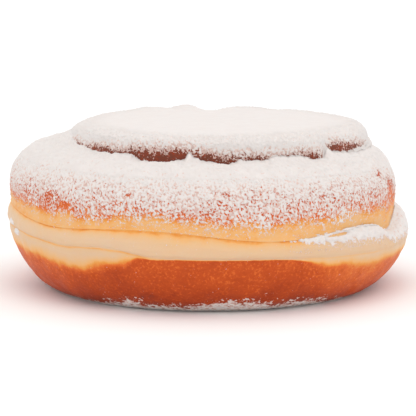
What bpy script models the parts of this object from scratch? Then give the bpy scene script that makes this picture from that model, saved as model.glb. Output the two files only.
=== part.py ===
"""A jelly filled doughnut: one fried piece of dough, with its filling sealed inside.

Metres, +Z up. The origin is the middle of the footprint, on the surface that the doughnut
rests on, and the front faces -Y. A bearing is an angle round the +Z axis, seen from above:
0 at the front (-Y), a quarter turn at the right (+X), minus a quarter turn at the left (-X).

From the top down, a section through the doughnut at one bearing runs over

    cap       the flat round top, out to its brow
    wall      the cap's rounded rim and the steep wall under it
    groove    the furrow round the cap, which fades out at the left
    shoulder  the raised ring outside the groove, down to the widest point of the upper half
    cheek     the rest of the upper half, curling in to the seam
    collar    the pale band round the waist, between the seam and the fold
    belly     the lower half, from the fold to the foot
    base      the flat face that the doughnut rests on
"""

import math
from collections import namedtuple

import bmesh
import bpy
from mathutils import Vector

NAME = "doughnut"
MM = 0.001

# A dimension that changes round the doughnut, given at its four sides
Round = namedtuple("Round", "front right back left")

# A local change to a dimension: its bearing, how far to each side it reaches, and its size
Bump = namedtuple("Bump", "bearing reach size")

# Unevenness of hand-shaped dough: its size, and where round the doughnut it starts
Wobble = namedtuple("Wobble", "size phase")

# Driving dimensions
WIDTH = 90.0 * MM
DEPTH = 88.5 * MM
HEIGHT = 37.0 * MM

# Cap
CAP_RADIUS = Round(32.0 * MM, 36.0 * MM, 32.2 * MM, 30.6 * MM)
CAP_RADIUS_WOBBLE = Wobble(0.4 * MM, 0.6)
CAP_TOP = 36.7 * MM
CAP_TOP_WOBBLE = Wobble(0.25 * MM, 1.9)
CAP_DOME = 0.3 * MM
BROW_INSIDE_RIM = Round(2.0 * MM, 4.2 * MM, 2.2 * MM, 4.6 * MM)
RIM_ROUNDING = 0.9 * MM
LIP_STEP = Bump(math.radians(47), math.radians(34), 1.5 * MM)

# Groove. At the left the cap merges with the shoulder, and the wall there is a slope.
GROOVE_FLOOR = Round(30.3 * MM, 29.9 * MM, 30.8 * MM, 32.3 * MM)
GROOVE_OUTSIDE_RIM = Round(0.6 * MM, 0.9 * MM, 0.7 * MM, 3.6 * MM)
GROOVE_WIDTH_SHARES = (0.25, 0.60)
WALL_FOOT_LIFT = 0.9 * MM
MERGED = Bump(math.radians(-100), math.radians(62), 1.0)
MERGED_RIM_ROUNDING = -0.4 * MM
MERGED_FOOT_OUT = 0.8 * MM
MERGED_FOOT_LIFT = 0.3 * MM

# Shoulder and cheek
CREST_TOP = Round(31.4 * MM, 30.3 * MM, 31.9 * MM, 32.1 * MM)
CREST_TOP_WOBBLE = Wobble(0.2 * MM, 2.7)
CREST_RADIUS = Round(35.2 * MM, 37.7 * MM, 35.0 * MM, 36.2 * MM)
UPPER_RADIUS = Round(43.5 * MM, 42.2 * MM, 43.5 * MM, 44.2 * MM)
UPPER_RADIUS_WOBBLE = Wobble(0.25 * MM, 0.2)
UPPER_WIDEST_AT = Round(23.8 * MM, 23.0 * MM, 23.6 * MM, 23.4 * MM)
UPPER_WIDEST_WOBBLE = Wobble(0.4 * MM, 5.1)
SHOULDER_SQUARENESS = Round(0.54, 0.40, 0.46, 0.49)
CHEEK_DROP = 0.50
CHEEK_CURL_RADIUS = 0.55
CHEEK_CURL_HEIGHT = 0.18

# Seam, collar and fold round the waist
SEAM_HEIGHT = Round(18.2 * MM, 16.2 * MM, 18.6 * MM, 19.3 * MM)
SEAM_WOBBLE = Wobble(0.2 * MM, 3.3)
SEAM_DEPTH = Round(0.25 * MM, 0.5 * MM, 0.45 * MM, 0.4 * MM)
SEAM_DIP = Bump(math.radians(19), math.radians(33), -1.9 * MM)
SEAM_SAG = Bump(math.radians(-50), math.radians(32), -1.5 * MM)
LOBE_RISE = Bump(math.radians(95), math.radians(30), 1.9 * MM)
LOBE_NOTCH = Bump(math.radians(68), math.radians(14), -2.0 * MM)
COLLAR_RADIUS = Round(43.9 * MM, 45.1 * MM, 44.2 * MM, 44.9 * MM)
COLLAR_RADIUS_WOBBLE = Wobble(0.2 * MM, 1.2)
COLLAR_WIDEST_AT = Round(15.2 * MM, 12.9 * MM, 14.9 * MM, 16.4 * MM)
LEDGE_SHARPNESS = Round(0.4, 1.15, 0.6, 0.7)
LEDGE_DROP = 0.25
FOLD_HEIGHT = Round(12.3 * MM, 10.8 * MM, 12.2 * MM, 15.0 * MM)
FOLD_WOBBLE = Wobble(0.2 * MM, 0.9)
FOLD_DEPTH = Round(0.55 * MM, 0.25 * MM, 0.5 * MM, 0.35 * MM)
FOLD_RISE = Bump(math.radians(-29), math.radians(15), 1.2 * MM)
FOLD_OVERHANG = 2.3
FOLD_TUCK = 0.55

# Lower half
FOOT_RADIUS = Round(32.7 * MM, 34.2 * MM, 33.0 * MM, 32.6 * MM)
FOOT_RADIUS_WOBBLE = Wobble(0.3 * MM, 2.2)
BELLY_BULGE = 0.2 * MM
BELLY_FULLNESS = Round(0.57, 0.92, 0.62, 0.76)
FOOT_FULLNESS = 0.60

CRUST_COLOUR = (0.55, 0.16, 0.045, 1.0)
CRUST_ROUGHNESS = 0.55

# Mesh: columns round the doughnut, and rings along each stretch of a section
COLUMNS = 88
RINGS = {
    "cap": 8,
    "wall": 6,
    "groove": 3,
    "shoulder": 8,
    "cheek": 4,
    "collar": 7,
    "belly": 10,
    "base": 3,
}


def at(dimension, bearing):
    """The value of a Round dimension at this bearing, blended between the two nearest sides."""
    across, along = math.sin(bearing), math.cos(bearing)
    beside = dimension.right if across > 0 else dimension.left
    ahead = dimension.front if along > 0 else dimension.back
    return beside * across**2 + ahead * along**2


def rise(bump, bearing):
    """A bump's size at its own bearing, falling smoothly to 0 where its reach ends."""
    away = abs((bearing - bump.bearing + math.pi) % math.tau - math.pi)
    return bump.size * (0.5 + 0.5 * math.cos(math.pi * min(1.0, away / bump.reach)))


def uneven(wobble, bearing):
    """A wobble's value at this bearing: low waves with two, three and five crests to a turn."""
    waves = (
        0.45 * math.sin(2 * bearing + wobble.phase)
        + 0.35 * math.sin(3 * bearing + 2.3 * wobble.phase)
        + 0.20 * math.sin(5 * bearing + 3.1 * wobble.phase)
    )
    return wobble.size * waves


def mix(a, b, share):
    """The value that is this share of the way from a to b."""
    return a + (b - a) * share


def bezier(start, first, second, end, t):
    """The point at t on a cubic curve. Points are (radius, height) pairs."""
    u = 1 - t
    return tuple(
        u**3 * a + 3 * u * u * t * b + 3 * u * t * t * c + t**3 * d
        for a, b, c, d in zip(start, first, second, end)
    )


def cap_radius(bearing):
    """The cap's radius. Right of the front, its lip steps back behind a tear in the dough."""
    past_step = (bearing - LIP_STEP.bearing) % math.tau / LIP_STEP.reach
    step = LIP_STEP.size * (1 - past_step) ** 2 if past_step < 1 else 0.0
    return at(CAP_RADIUS, bearing) + uneven(CAP_RADIUS_WOBBLE, bearing) - step


def cap_and_wall(bearing):
    """The cap from its centre to its brow, and the wall from there to the groove's floor."""
    rim = cap_radius(bearing)
    merged = rise(MERGED, bearing)
    brow = (rim - at(BROW_INSIDE_RIM, bearing), CAP_TOP + uneven(CAP_TOP_WOBBLE, bearing))
    centre = (0.0, CAP_TOP + CAP_DOME)
    floor = (rim + at(GROOVE_OUTSIDE_RIM, bearing), at(GROOVE_FLOOR, bearing))
    cap = (centre, (brow[0] / 3, centre[1]), (2 * brow[0] / 3, brow[1] + CAP_DOME / 2), brow)
    rounding = (rim + mix(RIM_ROUNDING, MERGED_RIM_ROUNDING, merged), brow[1])
    wall_foot = (
        rim + MERGED_FOOT_OUT * merged,
        floor[1] + mix(WALL_FOOT_LIFT, MERGED_FOOT_LIFT, merged),
    )
    return cap, (brow, rounding, wall_foot, floor)


def upper_half(bearing, floor):
    """The groove's outer side, the shoulder and the cheek, down to the seam."""
    crest = (at(CREST_RADIUS, bearing), at(CREST_TOP, bearing) + uneven(CREST_TOP_WOBBLE, bearing))
    widest = (
        at(UPPER_RADIUS, bearing) + uneven(UPPER_RADIUS_WOBBLE, bearing),
        at(UPPER_WIDEST_AT, bearing) + uneven(UPPER_WIDEST_WOBBLE, bearing),
    )
    seam_height = at(SEAM_HEIGHT, bearing) + uneven(SEAM_WOBBLE, bearing)
    seam_height += sum(rise(bump, bearing) for bump in (SEAM_DIP, SEAM_SAG, LOBE_RISE, LOBE_NOTCH))
    seam = (widest[0] - at(SEAM_DEPTH, bearing), seam_height)
    squareness = at(SHOULDER_SQUARENESS, bearing)
    inner, outer = GROOVE_WIDTH_SHARES

    groove = (
        floor,
        (mix(floor[0], crest[0], inner), floor[1]),
        (mix(floor[0], crest[0], outer), crest[1]),
        crest,
    )
    shoulder = (
        crest,
        (mix(crest[0], widest[0], squareness), crest[1]),
        (widest[0], mix(widest[1], crest[1], squareness)),
        widest,
    )
    cheek = (
        widest,
        (widest[0], mix(widest[1], seam[1], CHEEK_DROP)),
        (mix(seam[0], widest[0], CHEEK_CURL_RADIUS), mix(seam[1], widest[1], CHEEK_CURL_HEIGHT)),
        seam,
    )
    return groove, shoulder, cheek


def lower_half(bearing, seam):
    """The collar, the belly and the base."""
    swell = (
        at(COLLAR_RADIUS, bearing) + uneven(COLLAR_RADIUS_WOBBLE, bearing),
        at(COLLAR_WIDEST_AT, bearing),
    )
    fold_height = at(FOLD_HEIGHT, bearing) + uneven(FOLD_WOBBLE, bearing) + rise(FOLD_RISE, bearing)
    fold = (swell[0] - at(FOLD_DEPTH, bearing), fold_height)
    foot_radius = at(FOOT_RADIUS, bearing) + uneven(FOOT_RADIUS_WOBBLE, bearing)

    collar = (
        seam,
        (mix(seam[0], swell[0], at(LEDGE_SHARPNESS, bearing)), mix(seam[1], swell[1], LEDGE_DROP)),
        (mix(fold[0], swell[0], FOLD_OVERHANG), mix(fold[1], swell[1], FOLD_TUCK)),
        fold,
    )
    belly = (
        fold,
        (fold[0] + BELLY_BULGE, fold[1] * at(BELLY_FULLNESS, bearing)),
        (mix(foot_radius, fold[0], FOOT_FULLNESS), 0.0),
        (foot_radius, 0.0),
    )
    base = (
        (foot_radius, 0.0),
        (foot_radius * 2 / 3, 0.0),
        (foot_radius / 3, 0.0),
        (0.0, 0.0),
    )
    return collar, belly, base


def section(bearing):
    """(radius, height) of each ring of the mesh at this bearing, from the cap's centre to the base's."""
    cap, wall = cap_and_wall(bearing)
    groove, shoulder, cheek = upper_half(bearing, wall[-1])
    collar, belly, base = lower_half(bearing, cheek[-1])
    curves = (cap, wall, groove, shoulder, cheek, collar, belly, base)
    points = [cap[0]]
    for count, curve in zip(RINGS.values(), curves):
        points += [bezier(*curve, step / count) for step in range(1, count + 1)]
    return points


def fit_to_size(vertices):
    """Scales and moves the vertices so that their box is WIDTH x DEPTH x HEIGHT, stood on the origin."""
    low, high = (Vector(pick(v.co[axis] for v in vertices) for axis in range(3)) for pick in (min, max))
    size = Vector((WIDTH, DEPTH, HEIGHT))
    middle = Vector(((low.x + high.x) / 2, (low.y + high.y) / 2, low.z))
    for vertex in vertices:
        for axis in range(3):
            share = (vertex.co[axis] - middle[axis]) / (high[axis] - low[axis])
            vertex.co[axis] = share * size[axis]


def doughnut_mesh():
    """A UV sphere whose meridians are bent to the doughnut's sections."""
    mesh = bpy.data.meshes.new(NAME)
    shape = bmesh.new()
    ring_count = sum(RINGS.values())
    bmesh.ops.create_uvsphere(shape, u_segments=COLUMNS, v_segments=ring_count, radius=1)
    sections = {}
    for vertex in shape.verts:
        ring = round(math.acos(max(-1.0, min(1.0, vertex.co.z))) / math.pi * ring_count)
        column = round(math.atan2(vertex.co.x, -vertex.co.y) / math.tau * COLUMNS)
        bearing = column / COLUMNS * math.tau
        if column not in sections:
            sections[column] = section(bearing)
        radius, height = sections[column][ring]
        vertex.co = Vector((radius * math.sin(bearing), -radius * math.cos(bearing), height))
    fit_to_size(shape.verts)
    bmesh.ops.recalc_face_normals(shape, faces=shape.faces)
    shape.to_mesh(mesh)
    shape.free()
    mesh.shade_smooth()
    return mesh


def crust_material():
    """Fried dough: golden brown, with the dull shine of frying fat."""
    material = bpy.data.materials.new("crust")
    material.use_nodes = True
    surface = material.node_tree.nodes["Principled BSDF"]
    surface.inputs["Base Color"].default_value = CRUST_COLOUR
    surface.inputs["Roughness"].default_value = CRUST_ROUGHNESS
    surface.inputs["Metallic"].default_value = 0.0
    return material


def main():
    for old in list(bpy.data.objects):
        bpy.data.objects.remove(old)
    parts = bpy.data.collections.new(NAME)
    bpy.context.scene.collection.children.link(parts)
    doughnut = bpy.data.objects.new(NAME, doughnut_mesh())
    doughnut.data.materials.append(crust_material())
    parts.objects.link(doughnut)


main()
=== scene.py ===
"""The looks of a jelly filled doughnut: its fried crust, and the powdered sugar on it.

Metres, +Z up. The front faces -Y. A place on the doughnut's skin is a bearing and a ring.
A bearing is an angle round the +Z axis, seen from above: 0 at the front, a quarter turn at
the right (+X), minus a quarter turn at the left. A ring is a number from 0, at the cap's
centre, to the last ring, at the base's centre, along the rings of the CAD model's mesh.
"""

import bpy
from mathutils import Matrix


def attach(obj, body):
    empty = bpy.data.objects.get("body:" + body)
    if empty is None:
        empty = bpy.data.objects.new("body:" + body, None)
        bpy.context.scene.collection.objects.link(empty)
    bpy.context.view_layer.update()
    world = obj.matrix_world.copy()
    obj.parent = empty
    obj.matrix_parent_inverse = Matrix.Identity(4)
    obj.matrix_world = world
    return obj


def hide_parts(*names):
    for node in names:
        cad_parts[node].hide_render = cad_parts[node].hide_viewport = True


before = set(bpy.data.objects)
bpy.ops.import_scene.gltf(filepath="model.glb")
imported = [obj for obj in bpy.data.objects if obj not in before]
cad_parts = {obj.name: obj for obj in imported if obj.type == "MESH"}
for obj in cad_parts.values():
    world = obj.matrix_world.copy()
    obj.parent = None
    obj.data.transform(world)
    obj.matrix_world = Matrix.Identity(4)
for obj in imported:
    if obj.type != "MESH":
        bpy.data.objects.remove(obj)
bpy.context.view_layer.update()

import math

import bmesh
import bpy
import numpy as np
from mathutils import Vector

MM = 0.001
NODE = "doughnut"

# The CAD model's mesh: its columns, and the ring at which each stretch of a section ends
COLUMNS = 88
CAP, WALL, GROOVE, SHOULDER, SEAM, FOLD, FOOT, BASE = 8, 14, 17, 25, 29, 36, 46, 49

# Columns of the meshes made here
CRUST_COLUMNS = 640
CAP_COLUMNS = 1080
SHOULDER_COLUMNS = 900
LACE_COLUMNS = 1760
LEDGE_COLUMNS = 1100

# How strong the white light from all round is
STUDIO_LIGHT = 1.12


# ---------------------------------------------------------------- numbers


def ease(share):
    """A share from 0 to 1, eased at both ends."""
    return share * share * (3 - 2 * share)


def smooth(low, high, value):
    """0 below low, 1 above high, and a smooth step between. low may be the larger one."""
    return ease(np.clip((value - low) / (high - low), 0.0, 1.0))


def between(value, low, high, soft):
    """1 between low and high, fading to 0 over soft on each side."""
    return smooth(low - soft, low, value) * (1 - smooth(high, high + soft, value))


def apart(bearing, centre):
    """How far a bearing is from the centre bearing, in degrees, from -180 to 180."""
    return (np.degrees(bearing) - centre + 180) % 360 - 180


def round_about(bearing, stations):
    """A value that changes smoothly round the doughnut, through (degrees, value) stations."""
    degrees, values = np.array(sorted(stations), float).T
    degrees = np.concatenate([degrees[-2:] - 360, degrees, degrees[:2] + 360])
    values = np.concatenate([values[-2:], values, values[:2]])
    where = (np.degrees(bearing) + 180) % 360 - 180
    right = np.clip(np.searchsorted(degrees, where), 1, len(degrees) - 1)
    share = ease((where - degrees[right - 1]) / (degrees[right] - degrees[right - 1]))
    return values[right - 1] * (1 - share) + values[right] * share


# Primes that turn a cell of the noise and its seed into a hash, and how far a seed moves the noise
CELL_PRIMES = np.array([73856093, 19349663, 83492791])
SEED_PRIME = 2654435761
SEED_SHIFT = 17.31


def noise(points, size, seed, stretch=(1, 1, 1)):
    """Smooth noise, from about -1 to 1, in lumps of this size: a slope for each corner of its cells."""
    places = points / (size * np.array(stretch)) + seed * SEED_SHIFT
    cells = np.floor(places)
    offsets = places - cells
    fade = offsets**3 * (offsets * (offsets * 6 - 15) + 10)
    cells = cells.astype(np.int64)
    total = np.zeros(points.shape[:-1])
    for corner in np.ndindex(2, 2, 2):
        x, y, z = np.moveaxis((cells + corner) * CELL_PRIMES, -1, 0)
        mixed = x ^ y ^ z ^ (seed * SEED_PRIME)
        mixed = (mixed ^ (mixed >> 13)) * 1274126177 & 0x7FFFFFFF
        mixed = (mixed ^ (mixed >> 15)) * 2246822519 & 0x3FFFFFFF
        slopes = np.stack([mixed & 1023, (mixed >> 10) & 1023, (mixed >> 20) & 1023], -1) / 511.5 - 1
        share = np.prod(np.where(corner, fade, 1 - fade), axis=-1)
        total += share * np.sum(slopes * (offsets - corner), axis=-1)
    return total * 1.6


def crumbly(points, size, seed):
    """Noise with two finer layers on it, for ragged edges."""
    coarse = noise(points, size, seed)
    fine = noise(points, size / 2, seed + 1)
    finest = noise(points, size / 4, seed + 2)
    return 0.55 * coarse + 0.35 * fine + 0.25 * finest


def evenly(values):
    """Noise spread evenly from 0 to 1: about the share of it that lies below each value."""
    return 1 / (1 + np.exp(-1.7 * values / values.std()))


def hump(offset, wide):
    """1 in the middle of a soft hump, where the offset is 0, and almost 0 past twice its half width."""
    return np.exp(-((offset / wide) ** 2))


def spot(bearing, ring, place):
    """1 in the middle of a soft oval spot and 0 outside it.

    place is its middle's degrees and ring, its half width in degrees and its half height in rings.
    """
    degrees, middle, wide, high = place
    return np.exp(-((apart(bearing, degrees) / wide) ** 2) - ((ring - middle) / high) ** 2)


def spots(bearing, ring, places):
    """Soft oval spots, added up."""
    return sum(spot(bearing, ring, place) for place in places)


# ---------------------------------------------------------------- the skin


def spline_weights(share):
    """How much each of four neighbours in a row counts, at this share between the middle two."""
    squared, cubed = share**2, share**3
    return (
        -0.5 * share + squared - 0.5 * cubed,
        1 - 2.5 * squared + 1.5 * cubed,
        0.5 * share + 2 * squared - 1.5 * cubed,
        -0.5 * squared + 0.5 * cubed,
    )


def bearing_of(x, y):
    """The bearing of a place seen from above."""
    return np.arctan2(x, -y)


SAME_PLACE = 0.001 * MM


def cad_rings(node):
    """The CAD mesh as rings of points: (ring, column, xyz).

    The rings from the foot up to the cap's brow are read from the mesh, from its lowest edge up.
    The cap's top and the base are flat, so their rings are filled in.
    """
    shape = bmesh.new()
    shape.from_mesh(node.data)
    bmesh.ops.remove_doubles(shape, verts=shape.verts, dist=SAME_PLACE)
    seen = {v for v in shape.verts if v.co.z < SAME_PLACE}
    ring = {v for v in seen if any(edge.other_vert(v) not in seen for edge in v.link_edges)}
    walls = []
    # each ring is sorted round its own middle, and starts nearest to the start of the ring before
    start = np.array([0, min(v.co.y for v in ring), 0])
    while len(walls) <= FOOT - CAP:
        points = np.array([v.co for v in ring])
        out = points - points.mean(axis=0)
        points = points[np.argsort(bearing_of(out[:, 0], out[:, 1]))]
        nearest = np.argmin(np.linalg.norm(points - start, axis=1))
        walls.insert(0, np.roll(points, -nearest, axis=0))
        start = walls[0][0]
        ring = {edge.other_vert(v) for v in ring for edge in v.link_edges} - seen - ring
        seen |= ring
    centre = np.array([0, 0, max(v.co.z for v in shape.verts)])
    shape.free()
    brow, foot = walls[0], walls[-1]
    share = np.arange(CAP)[:, None, None] / CAP
    cap = centre + (brow - centre) * np.concatenate([share, share, share**2], axis=-1)
    share = np.arange(1, BASE - FOOT + 1)[:, None, None] / (BASE - FOOT)
    return np.concatenate([cap, walls, foot * (1 - share)])


RINGS = cad_rings(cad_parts[NODE])


def bare_skin(bearing, ring):
    """The CAD surface at these bearings and rings, as points."""
    column = bearing / math.tau * COLUMNS
    first_column, first_ring = np.floor(column).astype(int), np.floor(ring).astype(int)
    across = spline_weights(column - first_column)
    along = spline_weights(ring - first_ring)
    points = 0
    for i in range(4):
        row = np.clip(first_ring - 1 + i, 0, len(RINGS) - 1)
        for j in range(4):
            weight = (along[i] * across[j])[..., None]
            points = points + weight * RINGS[row, (first_column - 1 + j) % COLUMNS]
    return points


def outward(bearing, ring):
    """The CAD surface's outward unit normals."""
    turn, step, margin = math.radians(0.7), 0.2, 0.3
    ring = np.clip(ring, margin, BASE - margin)
    down = bare_skin(bearing, ring + step) - bare_skin(bearing, ring - step)
    aside = bare_skin(bearing + turn, ring) - bare_skin(bearing - turn, ring)
    normal = np.cross(down, aside)
    return normal / np.linalg.norm(normal, axis=-1, keepdims=True)


def grid(columns, stretches):
    """Bearings and rings of a grid. stretches is (first ring, last ring, rows) for each stretch."""
    rings = np.concatenate([np.linspace(a, b, rows, endpoint=False) for a, b, rows in stretches])
    rings = np.append(rings, stretches[-1][1])
    bearings = np.arange(columns) / columns * math.tau
    return np.meshgrid(bearings, rings)


# ---------------------------------------------------------------- relief of the crust


# Waves in the cap's brow at the back, and in the shoulder's crest in front, in mm: see mounds()
FAR_BROW = [
    (-150, 5, 0.35), (-162, 3, -0.30), (-168, 4, 0.15), (-173, 4, 0.45), (-179, 6, -0.85),
    (174, 8, -0.70), (169, 5, 0.20), (149, 6, -0.35),
]
CREST_DIPS = [(-22, 6, -0.20), (8, 7, -0.55), (60, 8, -0.25)]

SEAM_FILL = 0.32 * MM
FOLD_FILL = 0.25 * MM
FOLD_LIP = 0.05 * MM


def mounds(bearing, places):
    """Soft mounds and dips round the doughnut. places has each one's degrees, half width and height."""
    return sum(high * hump(apart(bearing, degrees), wide) for degrees, wide, high in places)


def fold_is_crisp(bearing):
    """1 where the fold is a crisp edge of pale dough over brown crust, at the front."""
    return between(apart(bearing, 5), -24, 22, 8)


def crust_relief(bearing, ring, points):
    """How far the crust stands out from the CAD surface, in metres."""
    side = smooth(CAP + 2, GROOVE + 3, ring) * (1 - smooth(FOOT - 3, FOOT, ring))
    top = 1 - smooth(CAP, WALL - 2, ring)
    relief = 0.20 * MM * noise(points, 9 * MM, 1) * side
    relief += 0.10 * MM * noise(points, 3.5 * MM, 2) * side
    relief += 0.05 * MM * noise(points, 12 * MM, 7) * top
    relief += MM * mounds(bearing, FAR_BROW) * between(ring, CAP - 1, CAP + 2, 2)
    relief += MM * mounds(bearing, CREST_DIPS) * between(ring, GROOVE - 1, GROOVE + 1, 2)
    waist = between(ring, SHOULDER + 2, FOLD + 3, 2)
    relief += 0.10 * MM * noise(points, 2.2 * MM, 4, (2.6, 2.6, 0.6)) * waist
    relief += 0.03 * MM * noise(points, 0.9 * MM, 5) * side
    # the seam is grown shut, and the lip over the fold stands out
    relief += SEAM_FILL * hump(ring - SEAM, 0.5)
    crisp = fold_is_crisp(bearing)
    relief += FOLD_LIP * crisp * hump(ring - FOLD + 0.8, 0.7)
    relief -= FOLD_LIP * crisp * hump(ring - FOLD - 0.1, 0.22)
    # the fold is smoothed over where it turns into the crisp edge
    relief += FOLD_FILL * between(apart(bearing, -31), -4, 4, 5) * hump(ring - FOLD, 0.6)
    relief *= 1 - smooth(FOOT - 1, FOOT, ring)
    return relief


def crust(bearing, ring):
    """Points on the crust, with their outward normals."""
    points = bare_skin(bearing, ring)
    normals = outward(bearing, ring)
    return points + normals * crust_relief(bearing, ring, points)[..., None], normals


# ---------------------------------------------------------------- browning of the crust, with painted light and shade


# Levels of brown: 0 is pale dough, and 1 is the darkest crust
PALE_BROWN = 0.04
CHEEK_BROWN = 0.27
CREASE_BROWN = 0.38
BELLY_BROWN = 0.64
WALL_BROWN = 0.98

# Dark spots low on the belly, glossy on the doughnut, though here they are only made browner: see spot()
GLOSSY_SPOTS = [(-17.3, 41.1, 1.7, 0.35), (-9.8, 40.6, 0.9, 0.30), (-19.8, 41.4, 0.8, 0.25)]


def brown_above_seam(ring, lumps, small):
    """The cheek is golden at the seam and browner further up, and the cap's wall is darkest, with
    painted shade making it darker still low down, towards the groove.
    """
    above = SEAM - ring + 0.35 * lumps + 0.2 * small
    brown = CHEEK_BROWN + 0.05 * lumps + 0.03 * small
    brown += 0.09 * smooth(1.0, 2.4, above) + 0.23 * smooth(1.7, 3.6, above)
    brown += 0.20 * smooth(3.0, 8, above)
    wall = smooth(CAP + 0.5, CAP + 2, ring) * (1 - smooth(GROOVE - 1, GROOVE + 1, ring))
    # the wall is a little darker low down, towards the groove: painted shade
    brown += (WALL_BROWN + 0.02 * smooth(WALL - 3, WALL - 1.5, ring) - brown) * wall
    return brown


def brown_of_collar(bearing, ring, lumps, small):
    """The collar is golden under the seam and pale below it, with a golden line along the fold."""
    crease_depth = round_about(
        bearing,
        [(-180, 1.3), (-60, 1.7), (-25, 2.2), (0, 2.9), (22, 3.2), (40, 1.6)],
    )
    below_seam = np.maximum(ring - SEAM + 0.5 * small + 0.7 * lumps, 0)
    crease = CREASE_BROWN * hump(below_seam, crease_depth) * (1 + 0.7 * lumps)
    brown = np.minimum(PALE_BROWN + 0.04 * lumps + 0.02 * small + crease, CREASE_BROWN)
    off_fold = ring - FOLD + 0.35 * lumps * (1 - fold_is_crisp(bearing)) + 0.03 * small
    line = hump(off_fold, 0.16) + 0.4 * hump(off_fold, 0.5)
    at_left = between(apart(bearing, -49), -33, 30, 9)
    at_right = between(apart(bearing, 42), -12, 12, 6)
    return brown + 0.24 * line * (at_left + 0.5 * at_right)


def brown_of_belly(bearing, ring, lumps):
    """The belly is browner towards the foot, and less brown towards the sides."""
    depth = smooth(FOLD, FOOT - 2, ring)
    brown = BELLY_BROWN + 0.15 * depth + 0.05 * lumps + 0.13 * smooth(FOOT - 5, FOOT - 1, ring)
    brown -= (0.07 + 0.04 * depth) * smooth(25, 60, np.abs(apart(bearing, 0)))
    brown -= 0.10 * between(apart(bearing, 60), -20, 20, 15) * (1 - 0.6 * depth)
    brown += 0.14 * spots(bearing, ring, GLOSSY_SPOTS)
    return brown


def belly_share(bearing, ring, lumps, small):
    """0 on the collar and 1 on the belly. The edge is crisp at the front and soft at the sides."""
    pale_reach = round_about(
        bearing,
        [(-150, 1.2), (-95, 1.9), (-60, 2.1), (-36, 2.2), (-28, 1.8), (-18, 0.2), (-5, 0.0),
         (20, 0.0), (40, 1.0), (52, 1.6), (64, 1.7), (80, 1.5), (110, 1.6), (150, 0.8)],
    )
    softness = 0.10 + 1.20 * smooth(0.1, 1.2, pale_reach)
    ragged = (0.20 * lumps + 0.20 * small) * smooth(0.1, 1.0, pale_reach) + 0.04 * small
    return smooth(-softness, softness, ring - FOLD - pale_reach + ragged)


def browning_light_and_shade(bearing, ring, points):
    """How brown the crust is: 0 is pale dough, and 1 is the darkest crust. It also holds painted light
    along the seam and painted shade low on the cap's wall.
    """
    lumps = noise(points, 5 * MM, 11)
    small = noise(points, 1.6 * MM, 12)
    above = brown_above_seam(ring, lumps, small)
    collar = brown_of_collar(bearing, ring, lumps, small)
    belly = brown_of_belly(bearing, ring, lumps)
    below = collar + (belly - collar) * belly_share(bearing, ring, lumps, small)

    blend = smooth(-0.18, 0.18, ring - SEAM)
    brown = above * (1 - blend) + below * blend
    off_seam = ring - SEAM + 0.25 * small + 0.15 * lumps
    brown += 0.04 * hump(off_seam, 0.9) * (1 + 0.9 * lumps)
    # paler in a narrow line along the seam: painted light that lifts the shade in the crease
    brown -= 0.10 * hump(ring - SEAM - 0.1, 0.3)
    return np.clip(brown, 0, 1)


# ---------------------------------------------------------------- powdered sugar


# A flake's greatest thickness in mm, and how far a layer dips under the one beside it
FLAKE = 0.22
DIP = 0.5 * MM

# How far the drift in the groove sags between its two banks
DRIFT_SAG = 0.25 * MM

# The ring at which the lacy powder starts, under the end of the shoulder's
LACE_START = 20.8

# The share of the crust under powder at each ring, down the shoulder and the cheek
SHOULDER_COVER = [
    (19, 0.98), (21.5, 0.91), (22.6, 0.83), (23.8, 0.74), (25, 0.66), (26, 0.54), (26.8, 0.35),
    (27.7, 0.12), (28.8, 0),
]

# Where the shoulder shows through the powder: see spot()
BARE_SPOTS = [
    (-50, 24.8, 2.2, 0.5), (-44, 25.6, 2.5, 0.4), (64, 22.0, 1.6, 0.9), (72, 24.0, 4.0, 1.2),
    (-22, 23.6, 1.0, 0.3), (5, 23.4, 0.8, 0.3), (19, 22.9, 1.2, 0.3), (34, 24.2, 1.2, 0.35),
]

# The crease in the powder on the ledge, and the clots on the collar at the left: see spot()
LEDGE_CREASE = (40, 30.2, 4.5, 0.35)
LEFT_CLOTS = [(-75, 34.2, 3.0, 1.1), (-71, 36.5, 2.6, 0.7)]

# The lip over the seam, where crumbs lie: see spot()
SEAM_LIP = (-10, SEAM - 0.45, 15, 0.45)


def flakes(cover, fine):
    """The thickness of thin powder that covers this share of the crust, in mm."""
    return FLAKE * (fine - 1 + cover)


def groove_bank(bearing):
    """The ring on the cap's wall down to which the groove is open: powder buries it below that."""
    level = round_about(
        bearing,
        [(-150, 12.6), (-110, 11.6), (-80, 10.8), (-67, 11.8), (-60, 12.2), (-49, 12.6),
         (-42, 12.5), (-35, 12.1), (-30, 12.1), (-25, 13.0), (-20, 12.9), (-15, 12.95),
         (-11, 12.4), (-8.5, 12.2), (-6.5, 11.2), (-4.5, 11.9), (-1, 12.5), (3, 12.8),
         (7.5, 13.2), (12, 12.3), (17, 12.5), (21.5, 12.4), (26, 11.7), (31, 11.95),
         (36, 11.9), (41, 12.7), (46, 12.5), (49.5, 11.1), (53, 11.8), (61, 12.1),
         (70, 11.8), (78, 11.3), (86, 11.2), (105, 12.4)],
    )
    along = bare_skin(bearing, np.full_like(bearing, WALL - 2))
    return level + 0.40 * crumbly(along, 1.5 * MM, 21)


def groove_drift(bearing, ring, points):
    """How far the drift of powder in the groove rises over the crust, in metres.

    It slopes from the bank on the cap's wall to the crest of the shoulder, in small lumps.
    """
    bank = groove_bank(bearing)
    wall = bare_skin(bearing, bank)
    crest = bare_skin(bearing, np.full_like(bank, GROOVE + 0.5))
    near, far, here = (np.hypot(place[..., 0], place[..., 1]) for place in (wall, crest, points))
    share = np.clip((here - near) / (far - near), 0, 1)
    level = wall[..., 2] + (crest[..., 2] - wall[..., 2]) * share
    bulk = share * (1 - share) * 4
    level += (0.35 * MM * crumbly(points, 1.6 * MM, 25) - DRIFT_SAG) * bulk
    below_bank = smooth(0, 0.25, ring - bank) * (1 - smooth(GROOVE, GROOVE + 1, ring))
    return np.maximum(level - points[..., 2], 0) * below_bank


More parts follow.
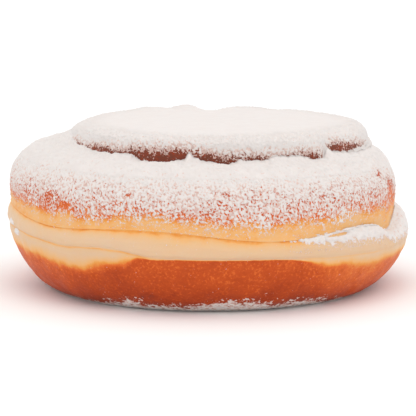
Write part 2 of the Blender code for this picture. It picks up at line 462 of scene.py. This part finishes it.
def cap_edge(bearing):
    """The ring on the cap's wall down to which the powder from the cap reaches."""
    return round_about(
        bearing,
        [(-180, 10.8), (-120, 11.0), (-80, 11.7), (-66, 11.3), (-55, 11.3), (-35, 10.9),
         (-30, 10.4), (-25, 10.5), (-18, 10.4), (-8, 10.2), (0, 10.5), (5, 11.1), (12, 11.1),
         (24, 11.2), (33, 11.1), (41, 11.0), (46, 11.4), (49, 11.7), (52, 10.3), (58, 10.4),
         (66, 10.4), (72, 10.8), (80, 11.5), (90, 11.8), (110, 11.0)],
    )


def shoulder_drift(points):
    """How the powder on the shoulder varies, in wide patches and small clusters."""
    return 0.5 * noise(points, 7 * MM, 27) + 0.8 * noise(points, 2 * MM, 28)


def cover_of_shoulder(bearing, ring, drift):
    """The share of the crust that the powder covers, down the shoulder and the cheek."""
    # it ends higher up at the two sides, where the cheek stands upright
    higher = round_about(
        bearing,
        [(-180, 0.3), (-95, 1.1), (-55, 1.1), (-36, 0.3), (0, 0.0), (42, 0.1), (58, 0.8), (80, 1.5),
         (110, 1.2), (150, 0.3)],
    )
    place = ring + 0.9 * drift + higher * smooth(SHOULDER - 4, SHOULDER, ring)
    cover = np.interp(place, *zip(*SHOULDER_COVER))
    return np.clip(cover - 0.6 * spots(bearing, ring, BARE_SPOTS), 0, 1)


def sugar_depth(bearing, ring, points):
    """How thick the powder lies on the cap and the shoulder, in metres. Below 0, the crust is bare."""
    ragged = crumbly(points, 1.2 * MM, 21)
    fine = evenly(crumbly(points, 0.48 * MM, 24))
    lumps = noise(points, 3.2 * MM, 29)
    drift = shoulder_drift(points)
    fluff = 0.08 * (fine - 0.5)

    # the cap, down to the ragged edge on its wall
    over = cap_edge(bearing) - ring + 0.5 * ragged + 0.4 * lumps
    even = 0.5 + (fine - 0.5) * smooth(CAP - 1.5, CAP, ring)
    rough = 0.05 * (drift + lumps) * smooth(CAP - 4, CAP, ring) + 0.08 * (even - 0.5)
    cap = flakes(smooth(-1.3, 0.9, over), even) + (0.12 + rough) * smooth(0.2, 1.6, over)
    # the groove, the shoulder and the lacy edge under it
    bank = ring - groove_bank(bearing)
    cover = cover_of_shoulder(bearing, ring, drift)
    crest = between(ring, GROOVE - 1, GROOVE + 2, 3)
    solid = (0.14 + fluff + 0.07 * ragged) * smooth(0.86, 1.0, cover)
    solid += (0.08 * lumps + 0.16 * ragged) * crest
    shoulder = solid + flakes(cover, fine) - 0.9 * (1 - smooth(-0.2, 0.2, bank))
    return np.where(ring < WALL, np.maximum(cap, shoulder), shoulder) * MM


def shoulder_depth(bearing, ring, points):
    """The powder's thickness on the upper shoulder. It dips under the lace's at its lower end."""
    dip = DIP * smooth(LACE_START + 0.3, LACE_START + 0.6, ring)
    return sugar_depth(bearing, ring, points) - dip


def lace_depth(bearing, ring, points):
    """The powder's thickness on the cheek. It starts under the shoulder's."""
    dip = DIP * smooth(LACE_START + 0.3, LACE_START, ring)
    return sugar_depth(bearing, ring, points) - dip


def ledge_depth(bearing, ring, points):
    """How thick the powder lies on the collar, in metres: on its ledge at the right, and in clots."""
    ragged = crumbly(points, 1.2 * MM, 31)
    fine = evenly(crumbly(points, 0.7 * MM, 36))
    drift = noise(points, 2.5 * MM, 34)
    reach = round_about(
        bearing,
        [(-165, -2.5), (19, -2.5), (24, 0.9), (30, 2.4), (38, 3.2), (44, 3.2), (54, 3.4), (60, 2.8),
         (68, 4.0), (78, 5.0), (95, 5.0), (110, 4.2), (140, 1.8), (165, -0.8)],
    )
    inside = SEAM + reach - ring + 0.8 * drift + 0.9 * ragged
    lobe = between(apart(bearing, 90), -22, 30, 8)
    cover = smooth(-1.6, 0.9, inside) * (0.95 - 0.15 * lobe)
    thick = smooth(0.0, 1.3, inside) * (1 - smooth(SEAM + 2.5, SEAM + 4.5, ring)) * (1 - 0.8 * lobe)
    depth = flakes(cover, fine) + (0.40 + 0.35 * ragged + 0.25 * drift) * thick
    clots = spots(bearing, ring, LEFT_CLOTS)
    depth = np.maximum(depth, 0.8 * clots + 0.3 * ragged - 0.35)
    # a crease parts the ledge's powder near its front end, where it lies a little below the seam
    depth -= 1.2 * spot(bearing, ring + 0.15 * drift, LEDGE_CREASE)
    first = SEAM + 0.9 * between(apart(bearing, 31), -6, 4, 4)
    return (depth - 0.6 * smooth(first - 0.1, first - 0.6, ring + 0.3 * ragged)) * MM


def foot_cover(bearing, ring, points):
    """The share of the crust round the foot that is under powder, picked up from the table."""
    reach = round_about(
        bearing,
        [(-180, 1.0), (-120, 0.4), (-75, -1.2), (-50, -0.8), (-34, 0.6), (-22, 1.3), (-12, 1.2),
         (-4, 1.2), (3, 2.3), (15, 2.0), (24, 1.1), (33, 1.3), (50, -0.4), (80, -1.2), (120, 0.3)],
    )
    uneven = 0.8 * noise(points, 4 * MM, 44) + 0.7 * noise(points, 1.6 * MM, 45)
    return 0.78 * smooth(-1.4, 1.6, ring - (FOOT - 1.8 - reach) + uneven)


def foot_depth(bearing, ring, points):
    """How thick the powder lies round the foot, in metres."""
    fine = evenly(crumbly(points, 0.8 * MM, 41))
    return flakes(foot_cover(bearing, ring, points), fine) * MM


def film(bearing, ring, points):
    """How much of the crust is under flakes of powder too thin to have a shape: 0 to 1."""
    cover = cover_of_shoulder(bearing, ring, shoulder_drift(points))
    shoulder = 0.26 + 0.42 * cover + 0.20 * smooth(0.6, 0.9, cover)
    shoulder *= 1 - smooth(SEAM - 1.2, SEAM + 0.6, ring)
    wall = between(ring, CAP + 1, GROOVE, 1)
    on_wall = 0.72 * (1 - smooth(-0.6, 2.0, ring - cap_edge(bearing))) + 0.20
    upper = shoulder * (1 - wall) + on_wall * wall
    turned = np.abs(apart(bearing, 85))
    ledge = between(ring, SEAM, SEAM + 4, 2) * (1 - smooth(38, 65, turned)) * 0.35
    collar = 0.04 * between(ring, SEAM, FOLD, 1)
    return np.maximum.reduce([upper, ledge, foot_cover(bearing, ring, points), collar])


def crumbs_chance(bearing, ring):
    """How likely a crumb is at each place, where 1 is certain."""
    cheek = smooth(SHOULDER - 4, SHOULDER, ring) * (1 - smooth(SHOULDER + 1, SEAM - 1.2, ring))
    ledge = between(ring, SEAM, SEAM + 4.5, 1) * between(apart(bearing, 70), -42, 30, 8)
    return 0.7 * cheek + spot(bearing, ring, SEAM_LIP) + 0.35 * ledge + 0.006


# ---------------------------------------------------------------- meshes


# How deep a layer of powder goes into the crust where there is no powder
POWDER_SINK = 0.12 * MM

# How many places are tried for each crumb, how far its middle is over the crust, as a share of its
# size, and the thickness in mm that the powder's material is given for it: thin, so that the crumb
# takes the thin powder's warm tint, painted warm light in place of the grey shade on its sides
TRIES_FOR_CRUMB = 6
CRUMB_LIFT = 0.3
CRUMB_PAINTED_WARMTH = 0.01


def new_mesh(name, points, faces):
    """A smooth-shaded mesh object. faces is a list of arrays: one of quads and some of triangles."""
    mesh = bpy.data.meshes.new(name)
    corners = np.concatenate([block.ravel() for block in faces])
    counts = np.concatenate([np.full(len(block), block.shape[1]) for block in faces])
    starts = np.concatenate([[0], np.cumsum(counts)[:-1]])
    mesh.vertices.add(len(points))
    mesh.vertices.foreach_set("co", np.ascontiguousarray(points, np.float32).ravel())
    mesh.loops.add(len(corners))
    mesh.loops.foreach_set("vertex_index", corners.astype(np.int32))
    mesh.polygons.add(len(counts))
    mesh.polygons.foreach_set("loop_start", starts.astype(np.int32))
    mesh.update(calc_edges=True)
    mesh.validate()
    mesh.shade_smooth()
    piece = bpy.data.objects.new(name, mesh)
    bpy.context.scene.collection.objects.link(piece)
    return piece


def grid_faces(rows, columns):
    """The quads of a grid that closes on itself round the doughnut, facing out."""
    row, column = np.meshgrid(np.arange(rows - 1), np.arange(columns), indexing="ij")
    after = (column + 1) % columns
    quads = [row * columns + column, (row + 1) * columns + column,
             (row + 1) * columns + after, row * columns + after]
    return np.stack(quads, axis=-1).reshape(-1, 4)


def fan(centre, ring):
    """Triangles from the point numbered centre to the ring of points round it."""
    return np.stack([np.full_like(ring, centre), ring, np.roll(ring, -1)], axis=-1)


def set_attribute(piece, name, values):
    """One number for each point of the mesh, for its material to read."""
    attribute = piece.data.attributes.new(name, "FLOAT", "POINT")
    attribute.data.foreach_set("value", np.ascontiguousarray(values, np.float32).ravel())


def make_crust():
    """The whole crust as one closed mesh, finer than the CAD solid that it replaces."""
    stretches = [
        (0.6, CAP, 10), (CAP, WALL, 18), (WALL, GROOVE, 8), (GROOVE, SHOULDER, 30),
        (SHOULDER, SEAM - 1, 12), (SEAM - 1, SEAM + 1, 14), (SEAM + 1, FOLD - 1, 18),
        (FOLD - 1, FOLD + 1, 14), (FOLD + 1, FOOT, 24), (FOOT, BASE - 0.4, 4),
    ]
    bearing, ring = grid(CRUST_COLUMNS, stretches)
    points, _ = crust(bearing, ring)
    rows = len(points)
    flat = points.reshape(-1, 3)
    brown = browning_light_and_shade(bearing, ring, points)
    dusting = film(bearing, ring, points)
    ends = np.array([points[0].mean(axis=0), points[-1].mean(axis=0)])
    first = np.arange(CRUST_COLUMNS)
    last = first[::-1] + (rows - 1) * CRUST_COLUMNS
    faces = [grid_faces(rows, CRUST_COLUMNS), fan(len(flat), first), fan(len(flat) + 1, last)]
    piece = new_mesh("crust", np.concatenate([flat, ends]), faces)
    for name, values in (("browning_light_and_shade", brown), ("dusting", dusting)):
        at_ends = [values[0].mean(), values[-1].mean()]
        set_attribute(piece, name, np.append(values.ravel(), at_ends))
    return piece


def make_powder(name, columns, stretches, depth_of, rise_of=None, closed=False):
    """A layer of powder that comes out of the crust where its depth is above 0.

    rise_of gives how far it is also heaped up. closed fills the hole in the middle of the
    grid's first ring.
    """
    bearing, ring = grid(columns, stretches)
    points, normals = crust(bearing, ring)
    depth = depth_of(bearing, ring, points)
    surface = points + normals * np.maximum(depth, -POWDER_SINK)[..., None]
    if rise_of:
        heap = rise_of(bearing, ring, points)
        surface[..., 2] += heap
        depth = np.maximum(depth, heap)
    surface[..., 2] = np.maximum(surface[..., 2], 0)
    faces = grid_faces(len(points), columns)
    shown = (depth.ravel()[faces] > 0).any(axis=1)
    used = np.unique(faces[shown])
    number = np.zeros(surface[..., 0].size, int)
    number[used] = np.arange(len(used))
    points, thickness = surface.reshape(-1, 3)[used], depth.ravel()[used]
    blocks = [number[faces[shown]]]
    if closed:
        blocks.append(fan(len(points), np.arange(columns)))
        points = np.append(points, surface[:1].mean(axis=1), axis=0)
        thickness = np.append(thickness, depth[0].mean())
    piece = new_mesh(name, points, blocks)
    set_attribute(piece, "thickness", thickness / MM)
    return piece


def random_turns(count, rng):
    """Random rotations, as matrices."""
    q = rng.normal(size=(count, 4))
    w, x, y, z = (q / np.linalg.norm(q, axis=1, keepdims=True)).T
    rows = [
        [1 - 2 * (y * y + z * z), 2 * (x * y - z * w), 2 * (x * z + y * w)],
        [2 * (x * y + z * w), 1 - 2 * (x * x + z * z), 2 * (y * z - x * w)],
        [2 * (x * z - y * w), 2 * (y * z + x * w), 1 - 2 * (x * x + y * y)],
    ]
    return np.moveaxis(np.array(rows), -1, 0)


def ball(subdivisions):
    """The points and faces of an icosphere of radius 1."""
    shape = bmesh.new()
    bmesh.ops.create_icosphere(shape, subdivisions=subdivisions, radius=1)
    points = np.array([v.co for v in shape.verts])
    faces = np.array([[v.index for v in f.verts] for f in shape.faces])
    shape.free()
    return points, faces


def make_crumbs(name, count, smallest, largest, chance_of, seed, first_ring, last_ring):
    """Loose crumbs of powder on the crust: irregular lumps, joined in one mesh.

    smallest and largest are radii. chance_of gives how likely a crumb is at each place.
    """
    rng = np.random.default_rng(seed)
    tries = count * TRIES_FOR_CRUMB
    bearing = rng.uniform(-math.pi, math.pi, tries)
    ring = rng.uniform(first_ring, last_ring, tries)
    kept = np.nonzero(rng.uniform(size=tries) < chance_of(bearing, ring))[0][:count]
    bearing, ring = bearing[kept], ring[kept]
    points, normals = crust(bearing, ring)
    size = smallest + (largest - smallest) * rng.uniform(size=len(kept)) ** 2.2
    ball_points, ball_faces = ball(1)
    lumps = ball_points * rng.uniform(0.65, 1.25, (len(kept), len(ball_points), 1))
    lumps *= rng.uniform(0.6, 1.2, (len(kept), 1, 3))
    lumps = np.einsum("nij,nkj->nki", random_turns(len(kept), rng), lumps) * size[:, None, None]
    middle = points + normals * (size * CRUMB_LIFT)[:, None]
    lumps += middle[:, None, :]
    lumps[..., 2] = np.maximum(lumps[..., 2], 0)
    faces = ball_faces[None] + (np.arange(len(kept)) * len(ball_points))[:, None, None]
    piece = new_mesh(name, lumps.reshape(-1, 3), [faces.reshape(-1, 3)])
    # the crumbs get a thin layer's warm tint: painted warm light in place of the grey shade on their
    # sides
    set_attribute(piece, "thickness", np.full(len(kept) * len(ball_points), CRUMB_PAINTED_WARMTH))
    return piece


# ---------------------------------------------------------------- materials


class Nodes:
    """A small helper that adds nodes to a material and links them."""

    def __init__(self, name):
        self.material = bpy.data.materials.new(name)
        self.material.use_nodes = True
        self.tree = self.material.node_tree
        self.surface = self.tree.nodes["Principled BSDF"]

    def add(self, kind, inputs=None, **settings):
        """A new node. inputs has the value of, or the link to, each socket that it names."""
        node = self.tree.nodes.new(kind)
        for setting, value in settings.items():
            setattr(node, setting, value)
        for socket, value in (inputs or {}).items():
            self.put(node.inputs[socket], value)
        return node

    def put(self, socket, value):
        """Links a socket to the value, or sets it where the value is a constant."""
        if isinstance(value, bpy.types.NodeSocket):
            self.tree.links.new(value, socket)
        else:
            socket.default_value = value

    def attribute(self, name):
        return self.add("ShaderNodeAttribute", attribute_name=name).outputs["Fac"]

    def places(self):
        return self.add("ShaderNodeTexCoord").outputs["Object"]

    def noise(self, size, detail=2.0, roughness=0.5):
        """Noise in lumps of this size, fixed to the doughnut."""
        inputs = {"Vector": self.places(), "Scale": 1 / size, "Detail": detail, "Roughness": roughness}
        return self.add("ShaderNodeTexNoise", inputs).outputs["Fac"]

    def math(self, operation, a, b=0.0, c=0.0, clamp=False):
        node = self.add("ShaderNodeMath", operation=operation, use_clamp=clamp)
        for socket, value in zip(node.inputs, (a, b, c)):
            self.put(socket, value)
        return node.outputs[0]

    def span(self, value, low, high, to_low=0.0, to_high=1.0):
        """A smooth step: to_low where the value is low, and to_high where it is high."""
        inputs = {"Value": value, "From Min": low, "From Max": high, "To Min": to_low, "To Max": to_high}
        return self.add("ShaderNodeMapRange", inputs, interpolation_type="SMOOTHSTEP").outputs[0]

    def mix(self, share, a, b):
        """A colour between a and b, which are the mix node's inputs 6 and 7."""
        node = self.add("ShaderNodeMix", data_type="RGBA")
        for socket, value in ((0, share), (6, a), (7, b)):
            self.put(node.inputs[socket], value)
        return node.outputs[2]

    def ramp(self, value, stops):
        """The colour at this value. stops is (value, colour) for each stop."""
        node = self.add("ShaderNodeValToRGB", {"Fac": value})
        elements = node.color_ramp.elements
        while len(elements) < len(stops):
            elements.new(0.5)
        for element, (place, colour) in zip(elements, stops):
            element.position = place
            element.color = colour
        return node.outputs["Color"]

    def bump(self, height, distance, strength, normal=None):
        """The normal of a surface with bumps this high, on top of another bump's normal."""
        inputs = {"Height": height, "Distance": distance, "Strength": strength}
        if normal is not None:
            inputs["Normal"] = normal
        return self.add("ShaderNodeBump", inputs).outputs["Normal"]


def linear(red, green, blue):
    """The base colour of a surface that the studio's light shows at these screen values, 0 to 255."""
    values = np.array([red, green, blue]) / 255
    straight = np.where(values <= 0.04045, values / 12.92, ((values + 0.055) / 1.055) ** 2.4)
    return (*(straight / STUDIO_LIGHT).tolist(), 1.0)


SUGAR = linear(234, 227, 223)
DULL_SUGAR = linear(232, 224, 220)
THIN_SUGAR = linear(230, 205, 195)

# The crust's colour at each level of brown
FRIED = [
    (0.00, linear(226, 194, 162)),
    (0.18, linear(234, 189, 139)),
    (0.30, linear(240, 182, 116)),
    (0.40, linear(237, 160, 76)),
    (0.52, linear(226, 110, 44)),
    (0.64, linear(200, 82, 28)),
    (0.80, linear(166, 60, 21)),
    (1.00, linear(120, 64, 48)),
]


def crust_material():
    """Fried dough, from pale to dark, with freckles, pores and a film of powder."""
    n = Nodes("crust")
    # the level of brown, with painted light along the seam and painted shade low on the cap's wall
    brown = n.attribute("browning_light_and_shade")
    fried = n.span(brown, 0.45, 0.62)
    freckles = n.math("MULTIPLY", n.span(n.noise(0.55 * MM, 3.0), 0.50, 0.70), fried)
    grain = n.math("MULTIPLY_ADD", n.noise(0.9 * MM, 4.0, 0.7), 0.20, -0.10)
    blotches = n.math("MULTIPLY_ADD", n.noise(4 * MM, 3.0), 0.16, -0.08)
    patchy = n.math("MULTIPLY", n.math("ADD", grain, blotches), n.span(brown, 0.0, 0.5, 0.3, 1.0))
    shade = n.math("ADD", n.math("MULTIPLY_ADD", freckles, -0.10, brown), patchy, clamp=True)
    colour = n.ramp(shade, FRIED)
    dust = n.attribute("dusting")
    scatter = n.math("MULTIPLY_ADD", n.noise(1.3 * MM, 1.0), 0.45, n.noise(0.42 * MM, 3.0, 0.6))
    covered = n.span(n.math("MULTIPLY_ADD", dust, 0.50, scatter), 0.94, 1.03)
    thin = n.math("MULTIPLY", covered, 0.75)
    colour = n.mix(thin, colour, THIN_SUGAR)
    pores = n.noise(0.55 * MM, 3.0, 0.6)
    normal = n.bump(pores, 0.09 * MM, 0.5)
    normal = n.bump(covered, 0.06 * MM, 0.5, normal)
    rough = n.span(n.noise(2.5 * MM), 0.3, 0.7, 0.42, 0.56)
    rough = n.math("ADD", rough, n.math("MULTIPLY", thin, 0.4), clamp=True)
    n.put(n.surface.inputs["Base Color"], colour)
    n.put(n.surface.inputs["Roughness"], rough)
    n.put(n.surface.inputs["Normal"], normal)
    n.surface.inputs["Subsurface Weight"].default_value = 0.12
    n.surface.inputs["Subsurface Radius"].default_value = (1.0, 0.45, 0.2)
    n.surface.inputs["Subsurface Scale"].default_value = 2.0 * MM
    n.surface.inputs["Specular IOR Level"].default_value = 0.16
    return n.material


def sugar_material():
    """Dry white powder, which lets the crust shine through where it is thin."""
    n = Nodes("sugar")
    blotches = n.span(n.noise(2.4 * MM, 4.0, 0.6), 0.35, 0.70)
    thick = n.mix(blotches, SUGAR, DULL_SUGAR)
    specks = n.span(n.noise(0.5 * MM, 2.0), 0.45, 0.70, 0.0, 0.12)
    depth = n.math("SUBTRACT", n.attribute("thickness"), specks)
    colour = n.mix(n.span(depth, -0.02, 0.05), THIN_SUGAR, thick)
    n.put(n.surface.inputs["Base Color"], colour)
    powder = n.noise(0.35 * MM, 3.0, 0.65)
    n.put(n.surface.inputs["Normal"], n.bump(powder, 0.06 * MM, 0.5))
    n.put(n.surface.inputs["Roughness"], n.span(powder, 0.3, 0.7, 0.85, 1.0))
    n.surface.inputs["Subsurface Weight"].default_value = 0.2
    n.surface.inputs["Subsurface Radius"].default_value = (1.0, 0.8, 0.7)
    n.surface.inputs["Subsurface Scale"].default_value = 0.8 * MM
    n.surface.inputs["Specular IOR Level"].default_value = 0.1
    return n.material


# ---------------------------------------------------------------- the doughnut


def finish_piece(piece, material):
    """The piece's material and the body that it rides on."""
    piece.data.materials.append(material)
    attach(piece, "root")


def make_powder_layers():
    """The powder's pieces, from the cap down."""
    cap_rows = [(0.6, CAP, 22), (CAP, WALL - 0.4, 50)]
    shoulder_rows = [(WALL - 4, WALL, 22), (WALL, GROOVE, 10), (GROOVE, LACE_START + 0.6, 20)]
    lace_rows = [(LACE_START, SEAM - 0.6, 68)]
    ledge_rows = [(SEAM - 0.5, FOLD + 1, 50)]
    foot_rows = [(FOOT - 5, FOOT + 0.5, 44)]
    return [
        make_powder("sugar_cap", CAP_COLUMNS, cap_rows, sugar_depth, closed=True),
        make_powder("sugar_shoulder", SHOULDER_COLUMNS, shoulder_rows, shoulder_depth, groove_drift),
        make_powder("sugar_lace", LACE_COLUMNS, lace_rows, lace_depth),
        make_powder("sugar_ledge", LEDGE_COLUMNS, ledge_rows, ledge_depth),
        make_powder("sugar_foot", LEDGE_COLUMNS, foot_rows, foot_depth),
        make_crumbs(
            "sugar_crumbs",
            count=6000,
            smallest=0.05 * MM,
            largest=0.16 * MM,
            chance_of=crumbs_chance,
            seed=61,
            first_ring=SHOULDER - 4,
            last_ring=FOLD,
        ),
    ]


def make_doughnut():
    """The crust in place of the CAD solid, and the powder on it."""
    piece = make_crust()
    finish_piece(piece, crust_material())
    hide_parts(NODE)

    sugar = sugar_material()
    for layer in make_powder_layers():
        finish_piece(layer, sugar)


# ---------------------------------------------------------------- studio


FLOOR_HALF = 4.0
FLOOR_COLOUR = (0.94, 0.94, 0.94, 1)

# The view's width at the doughnut's axis, and the height of the place that the camera looks at
CAMERA_DISTANCE = 0.48
CAMERA_ELEVATION = math.radians(8.5)
VIEW_WIDTH = 94.1 * MM
VIEW_HEIGHT = 16.9 * MM
SENSOR_WIDTH = 36.0

# The soft lamp over the front
KEY_PLACE = (0.06, -0.32, 0.52)
KEY_SIZE = 0.6
KEY_POWER = 0.5


def look_at(thing, target):
    """Turns a camera or a lamp towards a place."""
    thing.rotation_euler = (Vector(target) - thing.location).to_track_quat("-Z", "Y").to_euler()


def add_light(name, place, size, power, target):
    """A round soft lamp."""
    light = bpy.data.lights.new(name, "AREA")
    light.shape = "DISK"
    light.size = size
    light.energy = power
    lamp = bpy.data.objects.new(name, light)
    lamp.location = place
    bpy.context.scene.collection.objects.link(lamp)
    look_at(lamp, target)


def make_floor():
    """A plain pale floor."""
    mesh = bpy.data.meshes.new("floor")
    signs = [(-1, -1), (1, -1), (1, 1), (-1, 1)]
    corners = [(x * FLOOR_HALF, y * FLOOR_HALF, 0) for x, y in signs]
    mesh.from_pydata(corners, [], [(0, 1, 2, 3)])
    floor = bpy.data.objects.new("floor", mesh)
    bpy.context.scene.collection.objects.link(floor)
    n = Nodes("floor")
    n.surface.inputs["Base Color"].default_value = FLOOR_COLOUR
    n.surface.inputs["Roughness"].default_value = 0.9
    mesh.materials.append(n.material)


def make_camera(target):
    """The camera in front, a little above the level."""
    camera_data = bpy.data.cameras.new("camera")
    camera_data.sensor_width = SENSOR_WIDTH
    camera_data.lens = SENSOR_WIDTH * CAMERA_DISTANCE / VIEW_WIDTH
    camera = bpy.data.objects.new("camera", camera_data)
    out = math.cos(CAMERA_ELEVATION)
    up = math.sin(CAMERA_ELEVATION)
    camera.location = (0, -CAMERA_DISTANCE * out, target[2] + CAMERA_DISTANCE * up)
    look_at(camera, target)
    bpy.context.scene.collection.objects.link(camera)
    bpy.context.scene.camera = camera


def make_world():
    """Even white light from all round."""
    world = bpy.data.worlds.new("studio")
    world.use_nodes = True
    background = world.node_tree.nodes["Background"]
    background.inputs["Color"].default_value = (1, 1, 1, 1)
    background.inputs["Strength"].default_value = STUDIO_LIGHT
    bpy.context.scene.world = world


def make_studio():
    """The camera, the light and the floor."""
    target = (0, 0, VIEW_HEIGHT)
    make_camera(target)
    make_world()
    add_light("key", KEY_PLACE, KEY_SIZE, KEY_POWER, target)
    bpy.context.scene.view_settings.view_transform = "Standard"
    bpy.context.scene.view_settings.look = "None"
    make_floor()


make_doughnut()
make_studio()

bpy.context.view_layer.update()
